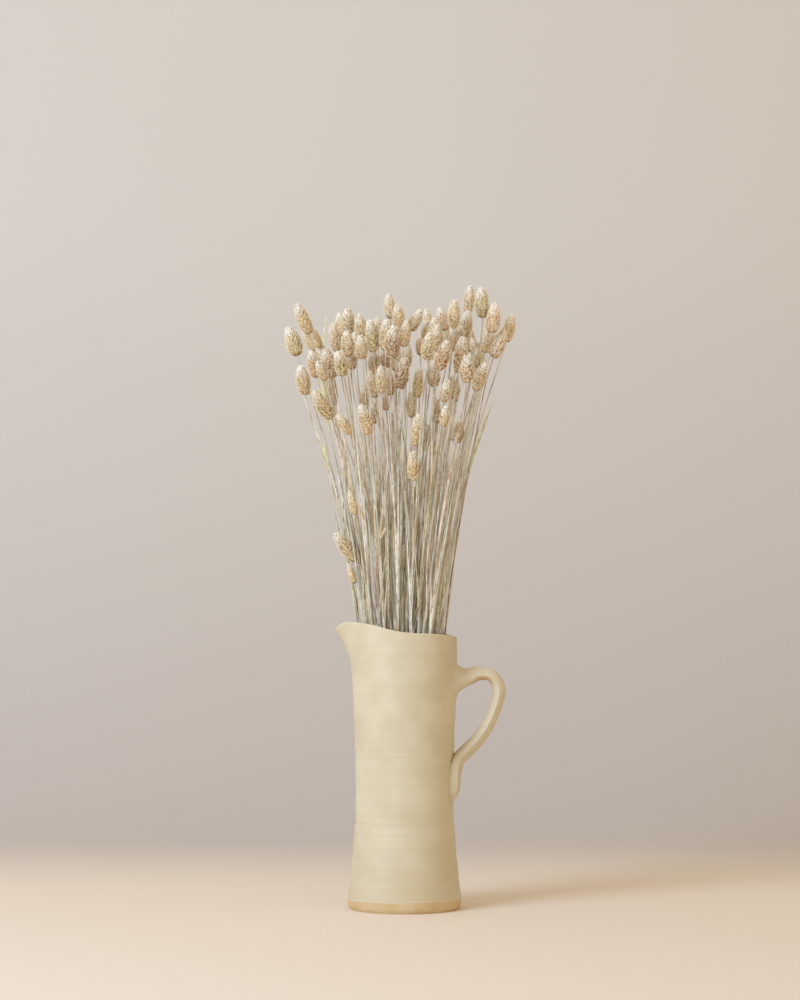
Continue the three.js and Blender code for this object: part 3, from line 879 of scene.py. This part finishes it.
def jug_body():
    bm = bmesh.new()
    verts = [bm.verts.new((radius, 0, z)) for radius, z in body_outline()]
    edges = [bm.edges.new(pair) for pair in zip(verts, verts[1:])]
    bmesh.ops.spin(bm, geom=verts + edges, cent=(0, 0, 0), axis=UP, angle=2 * math.pi,
                   steps=BODY_COLUMNS, use_merge=True)
    bmesh.ops.remove_doubles(bm, verts=bm.verts, dist=MERGED_WITHIN)
    for vert in bm.verts:
        shape_mouth(vert.co)
    bmesh.ops.recalc_face_normals(bm, faces=bm.faces)
    return bm


def jug_handle():
    """A strap with edges that are drawn out to ridges, and roots that are pressed wide on the wall."""
    line = smooth_line(HANDLE_LINE, lambda here, there: HANDLE_STEPS)
    places = []
    for i, (x, z, half_thickness, half_width, _) in enumerate(line):
        before = line[max(0, i - 1)]
        after = line[min(len(line) - 1, i + 1)]
        along = Vector((after[0] - before[0], 0, after[1] - before[1])).normalized()
        along = Vector((1, 0, 0)).lerp(along, smooth_step(*HANDLE_UPRIGHT_POINTS, i / HANDLE_STEPS))
        places.append(laid_across(Vector((x, 0, z)), along, half_thickness, half_width))
    bm = bmesh.new()
    rings = sweep(bm, places, HANDLE_SIDES)
    for ring, place, (*_, edge) in zip(rings, places, line):
        drop = HANDLE_RIDGE_DROP * max(0, place.col[2].x)
        for vert in ring:
            flat = place.inverted() @ vert.co
            flat.x = math.copysign(max(0, 1 - flat.y ** 2) ** edge, flat.x) + drop * flat.y ** 2
            vert.co = place @ flat
            wrapped = 1 - smooth_step(*HANDLE_WRAPPED_X, vert.co.x)
            if flat.x < 0:
                wrapped *= smooth_step(*HANDLE_WRAPPED_Z, vert.co.z)
            vert.co.x -= wrapped * vert.co.y ** 2 / (2 * WALL_RADIUS)
    bmesh.ops.recalc_face_normals(bm, faces=bm.faces)
    return bm


def joined(first, second):
    """One bmesh of two solids that cross."""
    whole, added = (shown("joining", mesh_of(bm, "joining")) for bm in (first, second))
    union = whole.modifiers.new("join", "BOOLEAN")
    union.operation = "UNION"
    union.solver = "EXACT"
    union.object = added
    view = bpy.context.evaluated_depsgraph_get()
    mesh = bpy.data.meshes.new_from_object(whole.evaluated_get(view))
    bm = bmesh.new()
    bm.from_mesh(mesh)
    for used in (mesh, whole.data, added.data):
        bpy.data.meshes.remove(used)
    return bm


def soften_root(bm):
    """Rounds the crease where the handle's upper root was pressed into the wall."""
    near = [
        vert for vert in bm.verts
        if ROOT_SOFT_X[0] < vert.co.x < ROOT_SOFT_X[1]
        and ROOT_SOFT_Z[0] < vert.co.z < ROOT_SOFT_Z[1]
        and abs(vert.co.y) < ROOT_SOFT_Y
        and math.hypot(vert.co.x, vert.co.y) > ROOT_SOFT_RADIUS
    ]
    for _ in range(ROOT_SOFT_ROUNDS):
        bmesh.ops.smooth_vert(bm, verts=near, factor=ROOT_SOFT_FACTOR,
                              use_axis_x=True, use_axis_y=True, use_axis_z=True)


def add_jug(finish):
    bm = joined(jug_body(), jug_handle())
    soften_root(bm)
    add_piece(bm, "jug_glazed", [finish], ["jug"])


# Bunch

def spread_at(z):
    """How wide the bunch is at a height, against its width in the jug's mouth."""
    above = z - MOUTH_HEIGHT
    if above > 0:
        return 1 + SPREAD_SLOPE * above + SPREAD_CURVE * above ** 2
    drawn = 1 - SPREAD_LEAST
    return 1 - drawn * (1 - math.exp(SPREAD_SLOPE / drawn * above))


def sway(wave, at, z):
    """How far a wave moves a stem at a height, by where it stands across the wave."""
    return wave["reach"] * math.sin(wave["turn"] * at + wave["phase"]) * (z - MOUTH_HEIGHT) / SWAY_HEIGHT


def fan(mouth, z):
    """Where a stem with this place in the mouth runs at a height."""
    x = mouth.x + sway(SWAY_X, mouth.y, z)
    y = mouth.y + sway(SWAY_Y, x, z)
    return Vector((BUNCH_CENTRE_X + x * spread_at(z), y * spread_at(z)))


def mouth_of(point):
    """The place in the mouth of the stem that runs through a point."""
    x = (point.x - BUNCH_CENTRE_X) / spread_at(point.z)
    y = point.y / spread_at(point.z) - sway(SWAY_Y, x, point.z)
    return Vector((x - sway(SWAY_X, y, point.z), y))


def at_depth(x, z, depth):
    """A point of the camera's view, put back to the depth it lies at."""
    scale = 1 + depth / VIEW_DISTANCE
    return Vector((x * scale, depth, VIEW_HEIGHT + (z - VIEW_HEIGHT) * scale))


class Stalk:
    """Where one stalk's head stands, and the way its stem runs down into the jug."""

    def __init__(self, number):
        tip_x, tip_z, foot_x, foot_z, width, depth = STALKS[number - 1]
        scale = 1 + depth / VIEW_DISTANCE
        centre = at_depth((tip_x + foot_x) / 2, (tip_z + foot_z) / 2, depth)
        widening = (spread_at(centre.z + 0.5) - spread_at(centre.z - 0.5)) / spread_at(centre.z)
        self.number = number
        self.axis = Vector(((tip_x - foot_x) / (tip_z - foot_z), depth * widening, 1)).normalized()
        seen_length = math.hypot(tip_x - foot_x, tip_z - foot_z) * scale
        self.length = seen_length / math.hypot(self.axis.x, self.axis.z)
        self.foot = centre - self.axis * self.length / 2
        self.width = width * scale
        self.mouth = mouth_of(self.foot)
        self.lean = Vector((0, 0))
        self.draw = random.Random(number)
        reach = self.draw.uniform(*WANDER_REACH)
        side = self.draw.uniform(0, 2 * math.pi)
        self.wander = Vector((math.cos(side), math.sin(side))) * reach
        self.waves = self.draw.uniform(*WANDER_WAVES)

    def point(self, z):
        """Centre of the stem at a height: the fan's curve, bent into the head's own axis over the neck."""
        point = fan(self.mouth, z)
        below = self.foot.z - z
        if below < NECK_LENGTH:
            slope = fan(self.mouth, self.foot.z + 0.5) - fan(self.mouth, self.foot.z - 0.5)
            turn = Vector((self.axis.x / self.axis.z, self.axis.y / self.axis.z)) - slope
            point -= turn * below * (1 - below / NECK_LENGTH) ** 2
        point += self.lean * (max(0, JOINED_BELOW - z) / JOINED_BELOW) ** 2
        risen = (z - MOUTH_HEIGHT) / (self.foot.z - MOUTH_HEIGHT)
        if 0 < risen < 1:
            point += self.wander * math.sin(2 * math.pi * self.waves * risen) * (1 - risen)
        return Vector((point.x, point.y, z))

    def along(self, z):
        return (self.point(z) - self.point(z - 1)).normalized()


def lean_together(first, second):
    """Leans two stalks so that their feet meet, as those of the fused solids do."""
    share = (JOINED_BELOW / (JOINED_BELOW - FEET_HEIGHT)) ** 2
    apart = fan(second.mouth, FEET_HEIGHT) - fan(first.mouth, FEET_HEIGHT)
    first.lean = apart * (0.5 - JOINED_FOOT_STEP / (2 * apart.length)) * share
    second.lean = -first.lean


# A stalk's piece has two finishes: straw is the first, and this is the second
SCALE_FINISH = 1


class Growth:
    """A bmesh of what grew, whose vertices hold the tint and the grain that the finishes read."""

    def __init__(self):
        self.bm = bmesh.new()
        self.tint = self.bm.verts.layers.float_color.new("tint")
        self.grain = self.bm.verts.layers.float_color.new("grain")

    def colour(self, verts, tint, along=0.5, keel=1):
        for vert in verts:
            vert[self.tint] = (*tint, 1)
            vert[self.grain] = (along, keel, 0, 1)

    def face(self, verts, finish_number):
        for face in {face for vert in verts for face in vert.link_faces}:
            face.material_index = finish_number


Sheath = namedtuple("Sheath", "joint mouth tint")


def sheaths_of(stalk):
    """The leaf sheaths that wrap the stem, from the top down, each from its joint up to its mouth."""
    sheaths = []
    mouth = stalk.foot.z - stalk.draw.uniform(*FIRST_SHEATH_BELOW)
    if abs(stalk.mouth.x) > SLIM_FROM_X:
        mouth = min(mouth, SLIM_DOWN_TO)
    while mouth > FEET_HEIGHT + SHEATH_LEAST_HEIGHT:
        joint = max(mouth - stalk.draw.uniform(*SHEATH_LENGTHS), FEET_HEIGHT)
        sheaths.append(Sheath(joint, mouth, straw_tone(stalk)))
        mouth = joint - stalk.draw.uniform(*BARE_LENGTHS)
    return sheaths


def straw_tone(stalk):
    return stalk.draw.choices(STRAW_TONES, STRAW_WEIGHTS)[0] * stalk.draw.uniform(*STRAW_BRIGHTNESS)


def stem_levels(stalk, sheaths):
    """The heights at which the stem has a ring, from its foot up."""
    levels = []
    z = FEET_HEIGHT
    while z < stalk.foot.z:
        levels.append(z)
        z += STEM_HIDDEN_STEP if z < MOUTH_HEIGHT - STEM_HIDDEN_DEPTH else STEM_STEP
    for sheath in sheaths:
        levels += [sheath.joint + above for above in JOINT_LEVELS]
        levels += [sheath.mouth + above for above in SHEATH_MOUTH_LEVELS]
    levels.append(stalk.foot.z + STEM_IN_HEAD)
    levels = sorted(z for z in levels if z >= FEET_HEIGHT)
    return [z for z, after in zip(levels, levels[1:]) if after - z > STEM_LEAST_STEP] + levels[-1:]


def add_stem(growth, stalk, sheaths):
    bare = straw_tone(stalk)
    turn = stalk.draw.uniform(0, math.pi)
    places, tints = [], []
    for z in stem_levels(stalk, sheaths):
        below = max(0, stalk.foot.z - z)
        radius = STEM_RADIUS_HEAD + (STEM_RADIUS_BARE - STEM_RADIUS_HEAD) * min(1, below / STEM_THIN_LENGTH)
        tint = bare.lerp(NECK_TONE, NECK_BROWNNESS * (1 - smooth_step(0, STEM_THIN_LENGTH, below)))
        flat = 1
        for sheath in sheaths:
            if abs(z - sheath.joint) < JOINT_WITHIN:
                radius = STEM_RADIUS_JOINT * JOINT_SWELL
                tint = tint.lerp(JOINT_BROWN, JOINT_BROWNNESS)
            elif sheath.joint < z < sheath.mouth:
                share = (z - sheath.joint) / (sheath.mouth - sheath.joint)
                radius = STEM_RADIUS_JOINT + (STEM_RADIUS_SHEATH - STEM_RADIUS_JOINT) * share
                flat = 1 - (1 - SHEATH_FLATNESS) * share
                tint = sheath.tint.lerp(bare, SHEATH_CHANGE * (1 - share))
        along = stalk.along(z) if z < stalk.foot.z else stalk.axis
        places.append(laid_across(stalk.point(z), along, radius, radius * flat, turn))
        tint = tint.lerp(straw_tone(stalk), stalk.draw.uniform(*RING_CHANGE))
        tints.append(tint * stalk.draw.uniform(*RING_BRIGHTNESS))
    rings = sweep(growth.bm, places, STEM_SIDES)
    for ring, tint in zip(rings, tints):
        growth.colour(ring, tint)


def add_blade(growth, root, middle, tip, width, tint, turn, twist):
    """A flat leaf that starts towards a middle point, bends over to its tip and ends there in a point."""
    places = []
    for station in range(LEAF_STATIONS):
        t = station / LEAF_STATIONS
        centre = root.lerp(middle, t).lerp(middle.lerp(tip, t), t)
        along = (middle - root).lerp(tip - middle, t)
        widened = smooth_step(0, LEAF_FULL_WIDTH_AT, t)
        half = LEAF_ROOT_HALF_WIDTH + (width / 2 - LEAF_ROOT_HALF_WIDTH) * widened
        half *= (1 - t ** LEAF_TAPER_START) ** LEAF_TAPER_POWER
        thick = LEAF_HALF_THICKNESS * (1 - LEAF_THINNING * t)
        places.append(laid_across(centre, along, max(half, LEAF_LEAST_HALF_WIDTH), thick, turn + twist * t))
    rings = sweep(growth.bm, places, LEAF_SIDES, tip)
    tip_tint = tint.lerp(STRAW_TONES[0], LEAF_TIP_PALENESS)
    for i, ring in enumerate(rings):
        growth.colour(ring, tint.lerp(tip_tint, smooth_step(LEAF_PALE_FROM, 1, i / LEAF_STATIONS)))


def add_leaves(growth, stalk):
    for number, height, tip_x, tip_z, tip_depth, bow, width, tone in LEAVES:
        if number == stalk.number:
            root = stalk.point(height)
            tip = at_depth(tip_x, tip_z, root.y + tip_depth)
            middle = root.lerp(tip, LEAF_MIDDLE) + stalk.along(height) * max(0, tip.z - root.z) * LEAF_FOLLOW
            middle.x += bow
            twist = stalk.draw.uniform(-LEAF_TWIST, LEAF_TWIST)
            add_blade(growth, root, middle, tip, width, LEAF_TONES[tone], 0, twist)


def add_dry_blades(growth, stalk, sheaths):
    """Narrow dry blades that part a little from the stem, at the mouths of sheaths and elsewhere."""
    draw = stalk.draw
    roots = [(sheath.mouth, sheath.tint) for sheath in sheaths if draw.random() < BLADE_SHARE]
    roots += [(draw.uniform(*LOOSE_BLADE_HEIGHTS), straw_tone(stalk)) for _ in range(LOOSE_BLADES)]
    for height, tint in roots:
        top = min(height + draw.uniform(*BLADE_LENGTHS), stalk.foot.z - BLADE_UNDER_HEAD)
        side = draw.uniform(0, 2 * math.pi)
        slant = draw.uniform(*BLADE_SLANT)
        width = draw.uniform(*BLADE_WIDTHS)
        twist = draw.uniform(-BLADE_TWIST, BLADE_TWIST)
        if top < MOUTH_HEIGHT or top - height < BLADE_LENGTHS[0] / 2:
            continue
        out = Vector((math.cos(side), math.sin(side), 0))
        if stalk.mouth.length > OUTER_STEM and out.xy.dot(stalk.mouth) > 0:
            slant *= OUTWARD_SLANT
        root = stalk.point(height - BLADE_ROOT_DROP) + out * BLADE_ROOT_OUT
        tip = stalk.point(top) + out * slant * (top - height)
        middle = root + stalk.along(height) * (tip - root).length * BLADE_FOLLOW
        add_blade(growth, root, middle, tip, width, tint, side, twist)


def head_swell(share):
    """The head's radius at a share of its length, as a share of its half width."""
    turn = (HEAD_START + HEAD_SPAN * share) ** HEAD_LEAN
    return math.sin(math.pi * turn) ** HEAD_FULLNESS


def scale_shape():
    """One keeled scale with its root at the origin, its tip up and its keel towards +Y."""
    bm = bmesh.new()
    grain = bm.verts.layers.float_color.new("grain")
    bm.verts.layers.float_color.new("tint")
    places = []
    for share, width in SCALE_STATIONS:
        out = SCALE_CURL * share ** 2
        size = Matrix.Diagonal((SCALE_WIDTH / 2 * width, SCALE_DEPTH / 2 * width, 1, 1))
        places.append(Matrix.Translation((0, out, SCALE_LENGTH * share)) @ size)
    rings = sweep(bm, places, SCALE_SIDES, Vector((0, SCALE_CURL, SCALE_LENGTH)))
    for ring in rings:
        for vert in ring:
            keel = 1 if abs(vert.co.x) < KEEL_WITHIN else 0
            vert[grain] = (vert.co.z / SCALE_LENGTH, keel, 0, 1)
    for face in bm.faces:
        face.material_index = SCALE_FINISH
    bmesh.ops.recalc_face_normals(bm, faces=bm.faces)
    return mesh_of(bm, "scale")


def head_tone(number):
    for tone, numbers in HEAD_TONES.values():
        if number in numbers:
            return tone
    return HEAD_TAN


def scale_shares(count):
    """Shares of the head's length at which its scales root, as many per area all over."""
    total = [0]
    for step in range(ROOT_STEPS):
        total.append(total[-1] + head_swell((step + 0.5) / ROOT_STEPS * LAST_ROOT))
    shares = []
    step = 0
    for i in range(count):
        wanted = (i + 0.5) / count * total[-1]
        while total[step + 1] < wanted:
            step += 1
        within = (wanted - total[step]) / (total[step + 1] - total[step])
        shares.append((step + within) / ROOT_STEPS * LAST_ROOT)
    return shares


def add_head(growth, stalk, scale):
    """A seed head: its core, and the scales that root on it in a spiral from its foot to its crown."""
    draw = stalk.draw
    half = stalk.width / 2
    sideways = BACK.cross(stalk.axis).normalized()
    depthways = stalk.axis.cross(sideways)
    tone = head_tone(stalk.number) * draw.uniform(*HEAD_BRIGHTNESS)
    whiteness = 1 if stalk.number in WHITE_TIPPED else draw.uniform(*HEAD_WHITENESS)

    def ring_place(share):
        swell = CORE_REACH * head_swell(share) * half
        return laid_across(stalk.foot + stalk.axis * share * stalk.length, stalk.axis, swell, swell)

    places = [ring_place(CORE_START + CORE_SPAN * i / (CORE_RINGS - 1)) for i in range(CORE_RINGS)]
    core = sweep(growth.bm, places, CORE_SIDES)
    for ring in core:
        growth.colour(ring, CORE_BROWN, CORE_ALONG)
        growth.face(ring, SCALE_FINISH)

    size = (stalk.width / FULL_HEAD_WIDTH) ** SCALE_SIZE_POWER
    area = 2 * math.pi * half * stalk.length * HEAD_AREA_SHARE
    count = round(area / (SCALE_PITCH * size) ** 2)
    for i, share in enumerate(scale_shares(count)):
        angle = i * GOLDEN_ANGLE + draw.uniform(*SCALE_TURNS)
        out = sideways * math.cos(angle) + depthways * math.sin(angle)
        long = size * draw.uniform(*SCALE_SIZES)
        wide = size * (1 - SCALE_NARROWING * share ** 2) * draw.uniform(*SCALE_SIZES)
        tip_share = min(share + SCALE_RISE * SCALE_LENGTH * long / stalk.length, draw.uniform(*CROWN_TIPS))
        root = stalk.foot + stalk.axis * share * stalk.length
        root += out * SCALE_ROOT_REACH * head_swell(share) * half
        reach = SCALE_TIP_REACH + (CROWN_REACH - SCALE_TIP_REACH) * smooth_step(CROWN_START, 1, tip_share)
        tip_radius = reach * head_swell(tip_share) * half * draw.uniform(*SCALE_TIP_SPREAD)
        tip = stalk.foot + stalk.axis * tip_share * stalk.length + out * tip_radius
        along = (tip - root).normalized()
        across = out.cross(along).normalized()
        axes = Matrix((across * wide, along.cross(across) * size, along * long)).transposed()
        growth.bm.verts.ensure_lookup_table()
        first = len(growth.bm.verts)
        growth.bm.from_mesh(scale)
        growth.bm.verts.ensure_lookup_table()
        verts = growth.bm.verts[first:]
        bmesh.ops.transform(growth.bm, matrix=Matrix.Translation(root) @ axes.to_4x4(), verts=verts)
        white = whiteness * smooth_step(*WHITE_FROM, tip_share) * draw.uniform(*SCALE_WHITENESS)
        fleck = draw.choice(SCALE_FLECKS)
        tint = (tone * draw.uniform(*SCALE_BRIGHTNESS)).lerp(SCALE_WHITE, max(fleck, white))
        for vert in verts:
            vert[growth.tint] = (*tint, 1)


def add_stalks(node, finishes, scale):
    """The piece for one node, which holds one stalk, or two that are joined at their feet."""
    stalks = [Stalk(int(number)) for number in node.split("_")[1:]]
    if len(stalks) == 2:
        lean_together(*stalks)
    growth = Growth()
    for stalk in stalks:
        sheaths = sheaths_of(stalk)
        add_stem(growth, stalk, sheaths)
        add_leaves(growth, stalk)
        add_dry_blades(growth, stalk, sheaths)
        add_head(growth, stalk, scale)
    add_piece(growth.bm, node.replace("stalk", "canary_grass"), finishes, [node])


# Camera, floor and light

def add_camera():
    view = bpy.data.cameras.new("view")
    view.sensor_fit = "VERTICAL"
    view.sensor_height = SENSOR_HEIGHT
    view.lens = SENSOR_HEIGHT * VIEW_DISTANCE / FRAME_HEIGHT
    view.shift_x = FRAME_CENTRE_X / FRAME_HEIGHT
    view.shift_y = (FRAME_CENTRE_Z - VIEW_HEIGHT) / FRAME_HEIGHT
    view.clip_end = VIEW_END * MM
    camera = shown("view", view)
    camera.location = (0, -VIEW_DISTANCE * MM, VIEW_HEIGHT * MM)
    camera.rotation_euler = (math.pi / 2, 0, 0)
    bpy.context.scene.camera = camera


def add_paper(finish):
    """A sheet of paper that lies as the floor and is drawn up behind in one bend."""
    bm = bmesh.new()
    points = [(-PAPER_HALF_WIDTH, PAPER_FRONT, 0)]
    for step in range(PAPER_BEND_STEPS + 1):
        angle = step / PAPER_BEND_STEPS * math.pi / 2
        y = PAPER_BEND_START + PAPER_BEND * math.sin(angle)
        points.append((-PAPER_HALF_WIDTH, y, PAPER_BEND * (1 - math.cos(angle))))
    points.append((-PAPER_HALF_WIDTH, PAPER_BEND_START + PAPER_BEND, PAPER_HEIGHT))
    verts = [bm.verts.new(point) for point in points]
    edges = [bm.edges.new(pair) for pair in zip(verts, verts[1:])]
    moved, _ = drawn_on(bm, edges)
    bmesh.ops.translate(bm, vec=(2 * PAPER_HALF_WIDTH, 0, 0), verts=moved)
    mesh = mesh_of(bm, "paper")
    mesh.shade_smooth()
    mesh.materials.append(finish)
    paper = shown("paper", mesh)


def add_light():
    light = bpy.data.lights.new("soft_lamp", "AREA")
    light.shape = "DISK"
    light.size = LAMP_SIZE
    light.energy = LAMP_POWER
    light.color = LAMP_COLOUR
    lamp = shown("soft_lamp", light)
    lamp.location = LAMP_PLACE
    lamp.rotation_euler = (Vector(LAMP_AIM) - Vector(LAMP_PLACE)).to_track_quat("-Z", "Y").to_euler()
    world = bpy.data.worlds.new("surroundings")
    world.use_nodes = True
    background = world.node_tree.nodes["Background"]
    background.inputs["Color"].default_value = (*SURROUND_COLOUR, 1)
    background.inputs["Strength"].default_value = SURROUND_STRENGTH
    bpy.context.scene.world = world
    bpy.context.scene.view_settings.view_transform = "Standard"


# Assembly

add_camera()
add_light()
add_paper(seamless_paper())
add_jug(stoneware())

stalk_finishes = [dry_straw(), dry_scale()]
one_scale = scale_shape()
for node in sorted(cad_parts):
    if node.startswith("stalk"):
        add_stalks(node, stalk_finishes, one_scale)
bpy.data.meshes.remove(one_scale)
